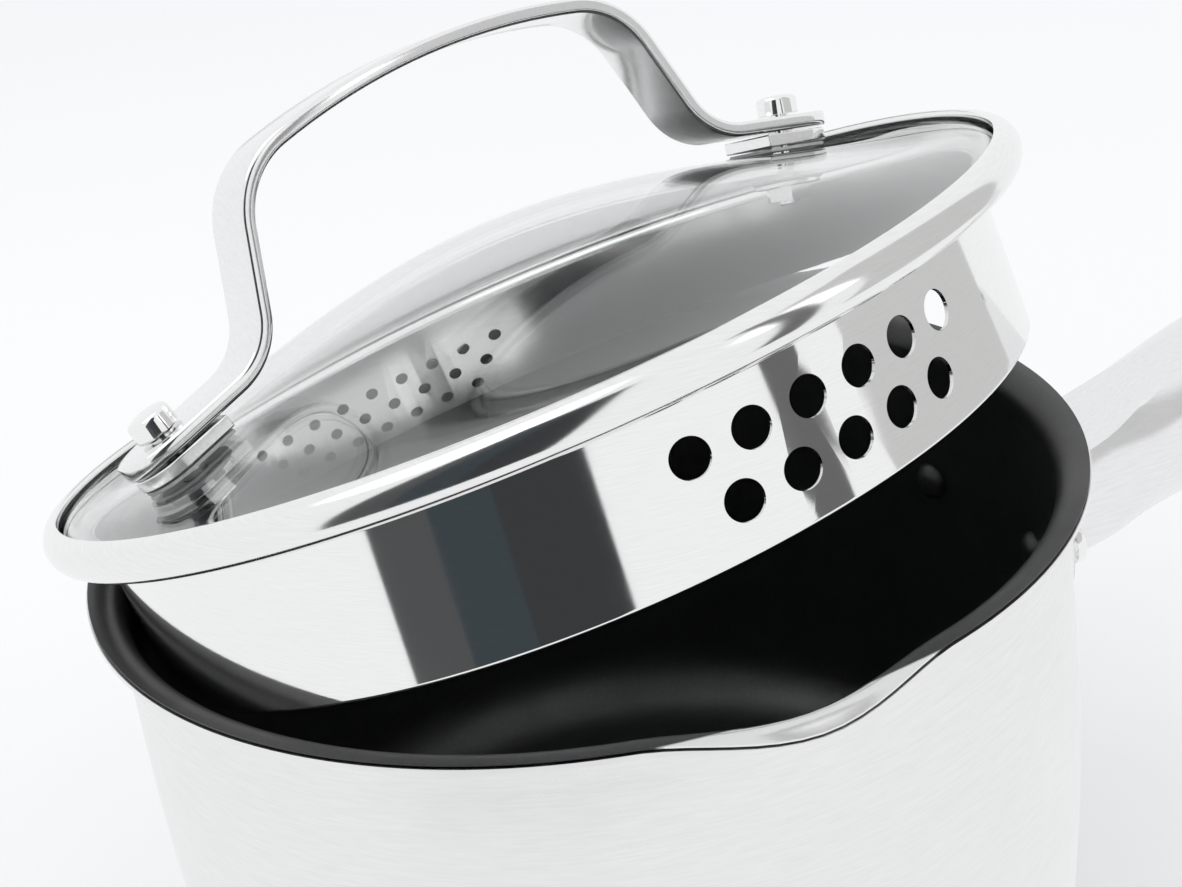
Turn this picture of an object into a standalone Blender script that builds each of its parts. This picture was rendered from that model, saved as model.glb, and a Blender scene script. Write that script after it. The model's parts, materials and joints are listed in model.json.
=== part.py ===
"""Saucepan with a glass strainer lid, tipped open on the pan's rim.

Metres, +Z up. The origin is the centre of the flat underside of the base. The long handle
points along +X, and the two pouring spouts are on -Y and +Y.
"""

import math

import bmesh
import bpy
from mathutils import Matrix, Vector

MM = 0.001
GAP = 0.3 * MM  # kept between pieces that touch
TURN_STEPS = 60  # flats round the pan and the lid
SMALL_STEPS = 16  # flats round bolts, rivets and washers

# Pan
PAN_HEIGHT = 100 * MM  # table to the top of the rim
PAN_RADIUS = 79.4 * MM  # coated inside, just below the rim
RIM_RADIUS = PAN_RADIUS + 5.8 * MM
FLARE_RADIUS = 4.6 * MM  # where the wall rolls out into the rim
BELLY = 1.1 * MM  # how far the wall swells below the flare
BELLY_DEPTH = 42 * MM
TAPER = 2.5 * MM  # how far the wall comes back in by the taper's depth
TAPER_DEPTH = 86 * MM
CORNER_RADIUS = 14 * MM
COATING = 0.3 * MM
WALL = 0.9 * MM
CORE = 3.2 * MM
CORE_RADIUS = PAN_RADIUS - 13.4 * MM
CAP_WALL = 0.6 * MM

# Pouring spouts
SPOUT_REACH = 3.4 * MM
SPOUT_DIP = 2.4 * MM
SPOUT_HALF_ANGLE = math.radians(17)
SPOUT_DEPTH = 17 * MM

# Long handle, one casting. Heights are measured down from the rim.
HANDLE_DEPTH = 31.5 * MM  # middle of the flange and of the rivets
FLANGE = 4 * MM
FLANGE_WIDTH = 50 * MM
FLANGE_HEIGHT = 25 * MM
HANDLE_LENGTH = 180 * MM  # from the pan's wall to the end
HANDLE_WIDTH = 25.6 * MM
# Along the handle: distance from the wall; depth of the top, the side's crease and the bottom;
# and half widths of the top and the bottom
HANDLE_STATIONS = (
    (10 * MM, 21.0 * MM, 37.0 * MM, 41.2 * MM, 9.5 * MM, 7.0 * MM),
    (19 * MM, 18.0 * MM, 33.3 * MM, 40.3 * MM, 9.5 * MM, 6.5 * MM),
    (29 * MM, 13.7 * MM, 23.8 * MM, 38.0 * MM, 7.3 * MM, 6.5 * MM),
    (36 * MM, 11.0 * MM, 18.5 * MM, 36.5 * MM, 5.7 * MM, 6.5 * MM),
    (48 * MM, 7.4 * MM, 12.6 * MM, 33.2 * MM, 4.8 * MM, 6.5 * MM),
    (68 * MM, 3.0 * MM, 7.2 * MM, 26.5 * MM, 4.8 * MM, 6.5 * MM),
    (98 * MM, -1.6 * MM, 2.6 * MM, 18.0 * MM, 5.2 * MM, 6.5 * MM),
    (132 * MM, -5.2 * MM, -1.4 * MM, 10.4 * MM, 6.2 * MM, 7.0 * MM),
    (160 * MM, -7.4 * MM, -3.8 * MM, 6.0 * MM, 7.0 * MM, 8.0 * MM),
    (180 * MM, -8.6 * MM, -5.2 * MM, 3.2 * MM, 7.0 * MM, 8.0 * MM),
)
RIVET_ANGLE = math.radians(13)
RIVET_RADIUS = 2.5 * MM
RIVET_HEAD_RADIUS = 3.7 * MM
RIVET_HEAD = 2.2 * MM
EYE_INSET = 17 * MM  # from the end of the handle to the middle of the hanging eye
EYE_LENGTH = 18 * MM
EYE_WIDTH = 8 * MM

# Lid
BAND_RADIUS = PAN_RADIUS - 1.4 * MM  # slides into the pan
BAND_DEPTH = 24.4 * MM  # below the rim, with the lid shut
BAND_WALL = 0.6 * MM
BAND_BEND = 1.6 * MM
GLASS = 3.0 * MM
RING_RADIUS = RIM_RADIUS + 1 * MM  # rests on the rim
RING_HEIGHT = GLASS + 3.6 * MM
RING_LIP_RADIUS = RING_RADIUS - 3.5 * MM
RING_WALL = 0.7 * MM
GLASS_RADIUS = RING_RADIUS - 1.9 * MM
DOME = 16.0 * MM  # rise of the glass from its flat shoulder to its crown
DOME_SHAPE = 1.75  # larger is flatter at the shoulder and steeper halfway up

# Holes of the strainer
BIG_HOLE_RADIUS = 3.0 * MM
BIG_HOLE_STEP = math.radians(6.9)
BIG_ROWS = ((8.3 * MM, 6), (16.8 * MM, 5))  # depth below the rim, holes
SMALL_HOLE_RADIUS = 1.4 * MM
SMALL_HOLE_STEP = math.radians(5.45)
SMALL_ROWS = ((9.9 * MM, 9), (15.1 * MM, 8), (20.3 * MM, 7))

# Strap handle of the lid
STRAP_WIDTH = 14 * MM
STRAP = 2.8 * MM
STRAP_TOE = 8.5 * MM  # bolt to the end of a foot
STRAP_FOOT = 21 * MM  # straight part of a foot
STRAP_LOW_BEND = 12 * MM
STRAP_LEG = 13 * MM
STRAP_LEG_ANGLE = math.radians(74)
STRAP_SHOULDER = 15 * MM
STRAP_CROWN_ANGLE = math.radians(14)
BOLT_REACH = RING_RADIUS - 23.7 * MM  # lid's centre to a bolt
SPACER = 2.2 * MM
GASKET = 0.6 * MM
BOLT_RADIUS = 2.0 * MM
BOLT_HEAD_RADIUS = 3.7 * MM
BOLT_HEAD = 3.6 * MM
WASHER_RADIUS = 6.5 * MM
WASHER = 0.8 * MM
NUT_RADIUS = BOLT_RADIUS + 2.4 * MM
NUT = 3.0 * MM

# The lid's hinge line: the place on the rim where the lid rests while it is tipped
TIP_DIRECTION = math.radians(127)  # from +X towards the resting side
TIP_RADIUS = RIM_RADIUS - 0.8 * MM
TIP_DEPTH = 6.0 * MM
TIP_ANGLE = math.radians(17.3)  # how far the lid is open
LID_TURN = math.radians(14)  # strainer holes against the spouts


# ---------------------------------------------------------------- helpers


def material(name, colour, metallic, roughness, alpha=1.0):
    made = bpy.data.materials.new(name)
    made.use_nodes = True
    shader = made.node_tree.nodes["Principled BSDF"]
    shader.inputs["Base Color"].default_value = (*colour, 1.0)
    shader.inputs["Metallic"].default_value = metallic
    shader.inputs["Roughness"].default_value = roughness
    shader.inputs["Alpha"].default_value = alpha
    made.diffuse_color = (*colour, alpha)
    return made


def finish(name, bm, look, parent=None):
    """Makes an object of a bmesh, facing out, smooth apart from its sharp edges."""
    bmesh.ops.recalc_face_normals(bm, faces=bm.faces)
    mesh = bpy.data.meshes.new(name)
    bm.to_mesh(mesh)
    bm.free()
    mesh.shade_smooth()
    mesh.set_sharp_from_angle(angle=math.radians(35))
    made = bpy.data.objects.new(name, mesh)
    bpy.context.scene.collection.objects.link(made)
    if look:
        mesh.materials.append(look)
    if parent:
        made.parent = parent
    return made


def turned(profile, steps=TURN_STEPS, warp=None):
    """Turns a closed profile of (radius, height) points round Z. Points on the axis become one point."""
    bm = bmesh.new()
    rings = []
    for radius, height in profile:
        if radius == 0:
            rings.append([bm.verts.new((0, 0, height))])
            continue
        ring = []
        for step in range(steps):
            angle = 2 * math.pi * step / steps
            r, z = warp(radius, height, angle) if warp else (radius, height)
            ring.append(bm.verts.new((r * math.cos(angle), r * math.sin(angle), z)))
        rings.append(ring)
    for first, second in zip(rings, rings[1:] + rings[:1]):
        if len(first) == 1 and len(second) == 1:
            continue
        for step in range(steps):
            after = (step + 1) % steps
            corners = [first[step % len(first)], first[after % len(first)]]
            corners += [second[after % len(second)], second[step % len(second)]]
            corners = list(dict.fromkeys(corners))
            if warp and len(corners) == 4:
                # Both sides of a warped wall are split along the same diagonal.
                a, b = (1, 3) if corners[0].co.z > corners[3].co.z else (0, 2)
                bm.faces.new((corners[a], corners[a + 1], corners[b]))
                bm.faces.new((corners[b], corners[(b + 1) % 4], corners[a]))
            else:
                bm.faces.new(corners)
    return bm


def lofted(loops):
    """Skins a list of closed loops of points, and closes both ends."""
    bm = bmesh.new()
    rows = [[bm.verts.new(point) for point in loop] for loop in loops]
    for first, second in zip(rows, rows[1:]):
        for i in range(len(first)):
            j = (i + 1) % len(first)
            bm.faces.new((first[i], first[j], second[j], second[i]))
    bm.faces.new(rows[0])
    bm.faces.new(rows[-1])
    return bm


def superellipse(width, height, steps=32, power=2.8):
    """Points (across, up) of an oval between an ellipse and a rectangle."""
    points = []
    for step in range(steps):
        angle = 2 * math.pi * (step + 0.5) / steps
        c, s = math.cos(angle), math.sin(angle)
        across = math.copysign(abs(c) ** (2 / power), c) * width / 2
        up = math.copysign(abs(s) ** (2 / power), s) * height / 2
        points.append((across, up))
    return points


def arc(centre, radius, start, end, steps):
    """Points (radius, height) of an arc, both ends included."""
    angles = [start + (end - start) * step / steps for step in range(steps + 1)]
    return [(centre[0] + radius * math.cos(a), centre[1] + radius * math.sin(a)) for a in angles]


def cylinder(radius, low, high, steps=SMALL_STEPS):
    return turned([(0, low), (radius, low), (radius, high), (0, high)], steps)


def moved(bm, matrix):
    bmesh.ops.transform(bm, matrix=matrix, verts=bm.verts)
    return bm


def joined(parts):
    """One bmesh of several that don't touch, for use as a cutter."""
    whole = bmesh.new()
    for part in parts:
        bmesh.ops.recalc_face_normals(part, faces=part.faces)
        mesh = bpy.data.meshes.new("part")
        part.to_mesh(mesh)
        part.free()
        whole.from_mesh(mesh)
        bpy.data.meshes.remove(mesh)
    return whole


def cut(target, name, cutter_bm):
    """Cuts a hidden shape out of an object with an exact Boolean."""
    cutter = finish(name, cutter_bm, None, target.parent)
    cutter.hide_render = True
    cutter.display_type = "WIRE"
    modifier = target.modifiers.new(name, "BOOLEAN")
    modifier.operation = "DIFFERENCE"
    modifier.solver = "EXACT"
    modifier.object = cutter


def smoothstep(x):
    x = min(max(x, 0.0), 1.0)
    return x * x * (3 - 2 * x)


# ---------------------------------------------------------------- pan


def wall_radius(depth):
    """Radius of the coated inside at a depth below the rim, down to the corner."""
    belly_radius = PAN_RADIUS + BELLY
    if depth < BELLY_DEPTH:
        share = (BELLY_DEPTH - depth) / (BELLY_DEPTH - FLARE_RADIUS)
        return belly_radius - BELLY * share * share
    share = (depth - BELLY_DEPTH) / (TAPER_DEPTH - BELLY_DEPTH)
    return belly_radius - TAPER * share * share


FLOOR_HEIGHT = CAP_WALL + GAP + CORE + GAP + WALL + GAP + COATING  # top of the coated floor


def inside_curve():
    """(radius, height, outward normal) along the coated surface, from rim edge to floor centre."""
    flare_centre = (PAN_RADIUS + FLARE_RADIUS, PAN_HEIGHT - FLARE_RADIUS)
    curve = [(RIM_RADIUS, PAN_HEIGHT, (0.0, -1.0))]
    for step in range(6):
        angle = math.pi / 2 * (1 + step / 5)
        toward = (math.cos(angle), math.sin(angle))
        point = (flare_centre[0] + FLARE_RADIUS * toward[0], flare_centre[1] + FLARE_RADIUS * toward[1])
        curve.append((*point, (-toward[0], -toward[1])))
    corner_depth = PAN_HEIGHT - FLOOR_HEIGHT - CORNER_RADIUS
    lean = 0.0
    for _ in range(8):
        corner_depth = PAN_HEIGHT - FLOOR_HEIGHT - CORNER_RADIUS * (1 - math.sin(lean))
        slope = (wall_radius(corner_depth - MM) - wall_radius(corner_depth + MM)) / (2 * MM)
        lean = math.atan(slope)
    spout_low = SPOUT_DEPTH + MM
    depths = [FLARE_RADIUS + (spout_low - FLARE_RADIUS) * step / 3 for step in (1, 2, 3)]
    depths += [spout_low + (corner_depth - spout_low) * step / 3 for step in (1, 2, 3)]
    for depth in depths:
        slope = (wall_radius(depth - MM) - wall_radius(depth + MM)) / (2 * MM)
        angle = math.atan(slope)
        normal = (math.cos(angle), -math.sin(angle))
        curve.append((wall_radius(depth), PAN_HEIGHT - depth, normal))
    end_radius, end_height, normal = curve[-1]
    centre = (end_radius - CORNER_RADIUS * normal[0], end_height - CORNER_RADIUS * normal[1])
    corner_steps = 4
    for step in range(1, corner_steps + 1):
        angle = -lean - (math.pi / 2 - lean) * step / corner_steps
        toward = (math.cos(angle), math.sin(angle))
        curve.append((centre[0] + CORNER_RADIUS * toward[0], centre[1] + CORNER_RADIUS * toward[1], toward))
    curve.append((0.0, FLOOR_HEIGHT, (0.0, -1.0)))
    return curve


def offset_curve(distance, edge_inset=0.0):
    """The inside curve moved out through the wall by a distance."""
    points = []
    for radius, height, normal in inside_curve():
        out = radius + distance * normal[0] if radius > 0 else 0
        points.append((out, height + distance * normal[1]))
    points[0] = (points[0][0] - edge_inset, points[0][1])
    return points


def spout_warp(radius, height, angle):
    """Draws the wall out and presses the rim down at the two spouts."""
    away = abs(abs((angle + math.pi) % (2 * math.pi) - math.pi) - math.pi / 2)
    share = smoothstep(1 - away / SPOUT_HALF_ANGLE)
    rise = smoothstep(1 - (PAN_HEIGHT - height) / SPOUT_DEPTH)
    out = smoothstep((radius - PAN_RADIUS) / (RIM_RADIUS - PAN_RADIUS))
    return radius + SPOUT_REACH * share * rise, height - SPOUT_DIP * share * rise * out


def pan_shell():
    inner = offset_curve(COATING + GAP)
    outer = offset_curve(COATING + GAP + WALL)
    shell = finish("pan_shell", turned(inner + outer[::-1], warp=spout_warp), STEEL)
    cut(shell, "cut_shell_rivet_holes", joined([rivet_hole(side) for side in (-1, 1)]))


def nonstick_lining():
    inner = offset_curve(0.0, edge_inset=GAP)
    outer = offset_curve(COATING, edge_inset=GAP)
    lining = finish("nonstick_lining", turned(inner + outer[::-1], warp=spout_warp), COAT)
    cut(lining, "cut_lining_rivet_holes", joined([rivet_hole(side) for side in (-1, 1)]))


def base():
    core_low = CAP_WALL + GAP
    finish("base_core", cylinder(CORE_RADIUS, core_low, core_low + CORE, TURN_STEPS), ALUMINIUM)
    inner_radius = CORE_RADIUS + GAP
    outer_radius = inner_radius + CAP_WALL
    top = core_low + CORE
    profile = [(0, 0), (outer_radius - 2 * MM, 0), (outer_radius - 0.6 * MM, 0.5 * MM)]
    profile += [(outer_radius, 1.8 * MM), (outer_radius, top), (inner_radius, top)]
    profile += [(inner_radius, CAP_WALL), (0, CAP_WALL)]
    finish("base_cap", turned(profile), STEEL)


# ---------------------------------------------------------------- long handle


def outer_wall_radius():
    return PAN_RADIUS + BELLY + COATING + GAP + WALL


def half_section(top, crease, bottom, top_half, widest_half, bottom_half):
    """Points (across, depth) down one side of the handle: flat top, ridge, side, crease, underside."""
    points = [(top_half * share, top) for share in (0.0, 0.5)]
    curves = (
        ((top_half, top), (widest_half, top + 0.3 * (crease - top)), (widest_half, crease), 4),
        ((widest_half, crease), (widest_half, bottom - 0.3 * (bottom - crease)), (bottom_half, bottom), 4),
    )
    for start, bulge, end, steps in curves:
        for step in range(steps):
            u = step / steps
            weights = ((1 - u) ** 2, 2 * u * (1 - u), u * u)
            across = sum(w * p[0] for w, p in zip(weights, (start, bulge, end)))
            depth = sum(w * p[1] for w, p in zip(weights, (start, bulge, end)))
            points.append((across, depth))
    return points + [(bottom_half, bottom), (0.5 * bottom_half, bottom), (0.0, bottom)]


def handle_loop(out, half, wrap=0.0):
    """A closed loop across the handle. wrap bends it round the pan's wall, from 0 to 1."""
    bend = outer_wall_radius() + GAP
    loop = half + [(-across, depth) for across, depth in reversed(half[1:-1])]
    points = []
    for across, depth in loop:
        back = bend - math.sqrt(bend * bend - across * across)
        points.append((bend + out - wrap * back, across, PAN_HEIGHT - depth))
    return points


def flange_half(inset):
    """The flange's outline, made smaller all round by an inset."""
    high, wide = FLANGE_HEIGHT / 2 - inset, FLANGE_WIDTH / 2 - inset
    top, bottom = HANDLE_DEPTH - high, HANDLE_DEPTH + high
    return half_section(top, HANDLE_DEPTH, bottom, 0.62 * wide, wide, 0.62 * wide)


def handle_half(out):
    """The handle's half section at a distance from the wall, smooth between the stations."""
    rows = HANDLE_STATIONS
    index = max(i for i in range(len(rows) - 1) if rows[i][0] <= out + 0.01 * MM)
    before, start, end = rows[max(index - 1, 0)], rows[index], rows[index + 1]
    after = rows[min(index + 2, len(rows) - 1)]
    u = (out - start[0]) / (end[0] - start[0])
    values = []
    for k in range(1, 6):
        in_slope = (end[k] - before[k]) / (end[0] - before[0]) * (end[0] - start[0])
        out_slope = (after[k] - start[k]) / (after[0] - start[0]) * (end[0] - start[0])
        value = (2 * u**3 - 3 * u**2 + 1) * start[k] + (u**3 - 2 * u**2 + u) * in_slope
        values.append(value + (3 * u**2 - 2 * u**3) * end[k] + (u**3 - u**2) * out_slope)
    top, crease, bottom, top_half, bottom_half = values
    return half_section(top, crease, bottom, top_half, HANDLE_WIDTH / 2, bottom_half)


def scaled_half(half, share):
    """A half section shrunk about its middle, for the handle's rounded end."""
    middle = (half[0][1] + half[-1][1]) / 2
    return [(across * share, middle + (depth - middle) * share**0.4) for across, depth in half]


def long_handle():
    loops = [handle_loop(-5 * MM, flange_half(0.0), 0.0)]
    loops.append(handle_loop(FLANGE - 1.5 * MM, flange_half(0.0), 1.0))
    loops.append(handle_loop(FLANGE - 0.4 * MM, flange_half(0.5 * MM), 1.0))
    loops.append(handle_loop(FLANGE, flange_half(1.6 * MM), 1.0))
    first = HANDLE_STATIONS[0]
    root = half_section(first[1], first[2], first[3], first[4], HANDLE_WIDTH / 2, first[5])
    waist = [(across * 0.9, depth) for across, depth in root]
    loops.append(handle_loop(FLANGE + 0.6 * MM, [(across * 1.1, depth) for across, depth in waist], 0.9))
    loops.append(handle_loop(FLANGE + 2.6 * MM, waist, 0.5))
    last = HANDLE_STATIONS[-1][0]
    stretch = (HANDLE_LENGTH - first[0]) / (last - first[0])
    round_off = HANDLE_WIDTH / 2
    outs = [first[0] + (last - first[0]) * i / 16 for i in range(16)]
    for out in outs:
        if (last - out) * stretch > round_off:
            loops.append(handle_loop(first[0] + (out - first[0]) * stretch, handle_half(out)))
    for step in range(6):
        angle = math.radians(88) * step / 5
        place = HANDLE_LENGTH - round_off * (1 - math.sin(angle))
        out = first[0] + (place - first[0]) / stretch
        loops.append(handle_loop(place, scaled_half(handle_half(min(out, last)), math.cos(angle))))
    handle = finish("long_handle", lofted(loops), STEEL)
    pan_space = [(0, PAN_HEIGHT)] + offset_curve(COATING + GAP + WALL + GAP)
    cut(handle, "cut_handle_seat", turned(pan_space))
    cut(handle, "cut_handle_rivet_holes", joined([rivet_hole(side) for side in (-1, 1)]))
    eye_x = outer_wall_radius() + GAP + HANDLE_LENGTH - EYE_INSET
    eye = superellipse(EYE_LENGTH, EYE_WIDTH, 20, 3.2)
    loops = [[(eye_x + a, b, z) for a, b in eye] for z in (PAN_HEIGHT - 30 * MM, PAN_HEIGHT + 40 * MM)]
    cut(handle, "cut_hanging_eye", lofted(loops))


def rivet_frame(side):
    """Places a piece built along +Z on a rivet's line, which points straight out of the wall."""
    turn = Matrix.Rotation(side * RIVET_ANGLE, 4, "Z") @ Matrix.Rotation(math.pi / 2, 4, "Y")
    return Matrix.Translation((0, 0, PAN_HEIGHT - HANDLE_DEPTH)) @ turn


def rivet_hole(side):
    return moved(cylinder(RIVET_RADIUS + GAP, PAN_RADIUS - 20 * MM, PAN_RADIUS + 20 * MM), rivet_frame(side))


def handle_rivet(name, side):
    inner = wall_radius(HANDLE_DEPTH) - GAP - 0.2 * MM
    outer = outer_wall_radius() + GAP + FLANGE + GAP + 0.4 * MM
    profile = [(0, inner - RIVET_HEAD)]
    profile += [(0.55 * RIVET_HEAD_RADIUS, inner - 0.85 * RIVET_HEAD), (RIVET_HEAD_RADIUS, inner - 0.3 * MM)]
    profile += [(RIVET_HEAD_RADIUS, inner), (RIVET_RADIUS, inner), (RIVET_RADIUS, outer)]
    profile += [(RIVET_HEAD_RADIUS, outer), (RIVET_HEAD_RADIUS, outer + 0.5 * RIVET_HEAD)]
    profile += [(0.75 * RIVET_HEAD_RADIUS, outer + 0.9 * RIVET_HEAD), (0, outer + 1.1 * RIVET_HEAD)]
    finish(name, moved(turned(profile, SMALL_STEPS), rivet_frame(side)), STEEL)


# ---------------------------------------------------------------- lid

# Every lid piece is built for the shut lid, about the pan's axis with the rim at height 0, and is
# then carried to its place by the empty on the hinge line.
RING_LOW = GAP  # underside of the ring, which rests on the pan's rim
FLANGE_LOW = RING_LOW + RING_WALL + GAP
GLASS_LOW = FLANGE_LOW + BAND_WALL + GAP  # underside of the glass at its edge


def glass_top(radius):
    """Height of the glass's upper face: a flat shoulder at the ring, then a rise to the crown."""
    shoulder = RING_LIP_RADIUS - 0.2 * MM
    rise = max(1 - (radius / shoulder) ** 2, 0) ** DOME_SHAPE
    return GLASS_LOW + GLASS + DOME * rise


def lid_glass():
    radii = [GLASS_RADIUS * share for share in (0.98, 0.9, 0.8, 0.7, 0.6, 0.5, 0.38, 0.2, 0)]
    top = [(r, glass_top(r)) for r in radii]
    under = [(r, glass_top(r) - GLASS) for r in reversed(radii)]
    edge = [(GLASS_RADIUS, GLASS_LOW + 0.8 * MM), (GLASS_RADIUS, GLASS_LOW + GLASS - 0.8 * MM)]
    glass = finish("lid_glass", turned(top + under + edge), GLASS_LOOK, LID)
    holes = [bolt_hole(side, -8 * MM, 4 * MM) for side in (-1, 1)]
    cut(glass, "cut_glass_bolt_holes", joined(holes))


def ring_section():
    """The rolled ring: a channel open towards the lid's centre, which grips glass and flange."""
    low, high = RING_LOW, RING_LOW + RING_HEIGHT
    middle = (RING_RADIUS - RING_HEIGHT / 2, (low + high) / 2)
    outer = arc(middle, RING_HEIGHT / 2, -math.pi / 2, math.pi / 2, 7)
    inner = arc(middle, RING_HEIGHT / 2 - RING_WALL, math.pi / 2, -math.pi / 2, 5)
    low_lip = BAND_RADIUS + BAND_BEND + GAP
    profile = [(low_lip, low + 0.2 * MM), (low_lip + 0.2 * MM, low)] + outer
    profile += [(RING_LIP_RADIUS, high - 0.4 * MM), (RING_LIP_RADIUS, high - 0.4 * MM - RING_WALL)]
    return profile + inner + [(low_lip, low + RING_WALL)]


def lid_ring():
    finish("lid_ring", turned(ring_section()), STEEL, LID)


def ring_sealant():
    """Silicone bead between the glass's edge and the ring."""
    inner = GLASS_RADIUS + GAP
    outer = RING_RADIUS - RING_WALL - GAP
    low, high = GLASS_LOW + 0.4 * MM, GLASS_LOW + GLASS - 1.2 * MM
    bead = [(inner, low), (outer, low + 0.8 * MM), (outer, high - 0.6 * MM), (inner, high)]
    finish("ring_sealant", turned(bead), SILICONE, LID)


def strainer_band():
    outer, inner = BAND_RADIUS, BAND_RADIUS - BAND_WALL
    flange_high = FLANGE_LOW + BAND_WALL
    centre = (outer + BAND_BEND, FLANGE_LOW - BAND_BEND)
    profile = [(inner, -BAND_DEPTH), (outer, -BAND_DEPTH)]
    profile += arc(centre, BAND_BEND, math.pi, math.pi / 2, 4)
    flange_edge = RING_RADIUS - RING_HEIGHT / 2 + 0.8 * MM  # clear of the ring's round inside
    profile += [(flange_edge, FLANGE_LOW), (flange_edge, flange_high)]
    profile += arc(centre, BAND_BEND + BAND_WALL, math.pi / 2, math.pi, 4)
    band = finish("strainer_band", turned(profile), STEEL, LID)
    big = hole_rows(-math.pi / 2, BIG_ROWS, BIG_HOLE_STEP, BIG_HOLE_RADIUS, 14)
    small = hole_rows(math.pi / 2, SMALL_ROWS, SMALL_HOLE_STEP, SMALL_HOLE_RADIUS, 8)
    cut(band, "cut_big_holes", joined(big))
    cut(band, "cut_small_holes", joined(small))


def hole_rows(middle, rows, step, radius, steps):
    """Radial pins, one through each hole of a staggered pattern centred on an angle."""
    pins = []
    for depth, count in rows:
        for index in range(count):
            angle = middle + step * (index - (count - 1) / 2)
            pin = cylinder(radius, BAND_RADIUS - 3 * MM, BAND_RADIUS + 1.2 * MM, steps)
            frame = Matrix.Rotation(angle, 4, "Z") @ Matrix.Rotation(math.pi / 2, 4, "Y")
            pins.append(moved(pin, Matrix.Translation((0, 0, -depth)) @ frame))
    return pins


# ---------------------------------------------------------------- lid handle

# The feet lie on the slope of the glass. Each foot's pieces are built about the bolt, on the slope.
PAD_HALF = STRAP_TOE - 0.6 * MM
SLOPE_DROP = glass_top(BOLT_REACH - PAD_HALF) - glass_top(BOLT_REACH + PAD_HALF)
FOOT_SLOPE = math.atan2(SLOPE_DROP, 2 * PAD_HALF)
PAD_CENTRE = (glass_top(BOLT_REACH - PAD_HALF) + glass_top(BOLT_REACH + PAD_HALF)) / 2
FOOT_LOW = GAP + GASKET + GAP + SPACER + GAP  # underside of a foot, above the glass


def foot_frame(side):
    turn = Matrix.Rotation(side * FOOT_SLOPE, 4, "Y")
    return Matrix.Translation((side * BOLT_REACH, 0, PAD_CENTRE)) @ turn


def strap_path():
    """(x, z, heading) along the strap's middle, from the end of one foot to the other's."""
    start = foot_frame(-1) @ Vector((-STRAP_TOE, 0, FOOT_LOW + STRAP / 2))
    x, z, heading = start.x, start.z, FOOT_SLOPE
    path = [(x, z, heading)]

    def straight(length):
        nonlocal x, z
        x += length * math.cos(heading)
        z += length * math.sin(heading)
        path.append((x, z, heading))

    def bend(radius, turn, steps):
        nonlocal x, z, heading
        side = math.copysign(1, turn)
        for _ in range(steps):
            after = heading + turn / steps
            x += side * radius * (math.sin(after) - math.sin(heading))
            z += side * radius * (math.cos(heading) - math.cos(after))
            heading = after
            path.append((x, z, heading))

    straight(STRAP_TOE)
    straight(STRAP_FOOT - STRAP_TOE)
    bend(STRAP_LOW_BEND, STRAP_LEG_ANGLE - FOOT_SLOPE, 6)
    straight(STRAP_LEG)
    bend(STRAP_SHOULDER, STRAP_CROWN_ANGLE - STRAP_LEG_ANGLE, 6)
    bend(-x / math.sin(STRAP_CROWN_ANGLE), -STRAP_CROWN_ANGLE, 4)
    return path + [(-px, pz, -ph) for px, pz, ph in reversed(path[:-1])]


def strap_outline():
    """Points (across, up) round the strap's section, with its edges eased."""
    edge = 1.2 * MM
    half_width, half_thick = STRAP_WIDTH / 2, STRAP / 2
    outline = [
        (half_width - edge, half_thick),
        (half_width - 0.3 * edge, half_thick - 0.3 * edge),
        (half_width, half_thick - edge),
        (half_width, edge - half_thick),
        (half_width - 0.3 * edge, 0.3 * edge - half_thick),
        (half_width - edge, -half_thick),
    ]
    return outline + [(-across, up) for across, up in reversed(outline)]


def strap_handle():
    outline = strap_outline()
    path = strap_path()
    toe_x, toe_z, toe_heading = path[0]
    toe = []
    for step in range(4):
        angle = math.pi / 2 * (0.14 + 0.86 * step / 4)
        run = STRAP_WIDTH / 2 * (1 - math.cos(angle))
        x = toe_x + run * math.cos(toe_heading)
        z = toe_z + run * math.sin(toe_heading)
        up_x, up_z = -math.sin(toe_heading), math.cos(toe_heading)
        width = math.sin(angle)
        toe.append([(x + up * up_x, across * width, z + up * up_z) for across, up in outline])
    loops = list(toe)
    for x, z, heading in path[1:-1]:
        up_x, up_z = -math.sin(heading), math.cos(heading)
        loops.append([(x + up * up_x, across, z + up * up_z) for across, up in outline])
    loops += [[(-x, y, z) for x, y, z in loop] for loop in reversed(toe)]
    strap = finish("strap_handle", lofted(loops), STEEL, LID)
    holes = [bolt_hole(side, FOOT_LOW - 2 * MM, FOOT_LOW + STRAP + 2 * MM) for side in (-1, 1)]
    cut(strap, "cut_strap_bolt_holes", joined(holes))


def bolt_hole(side, low, high):
    return moved(cylinder(BOLT_RADIUS + GAP, low, high), foot_frame(side))


def foot_pad(name, side, low, thickness, inset, look):
    """A pad of the foot's outline: round at the outer end, square at the inner one."""
    half_width = STRAP_WIDTH / 2 - inset
    outer = PAD_HALF - inset
    outline = [(-outer, half_width), (-outer, -half_width)]
    for step in range(7):
        angle = math.pi / 2 * (step / 3 - 1)
        outline.append((outer - half_width * (1 - math.cos(angle)), half_width * math.sin(angle)))
    loops = [[(side * a, b, z) for a, b in outline] for z in (low, low + thickness)]
    piece = finish(name, moved(lofted(loops), foot_frame(side)), look, LID)
    cut(piece, "cut_" + name, bolt_hole(side, low - 2 * MM, low + thickness + 2 * MM))


def round_piece(name, side, profile, look, steps=SMALL_STEPS):
    finish(name, moved(turned(profile, steps), foot_frame(side)), look, LID)


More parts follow.
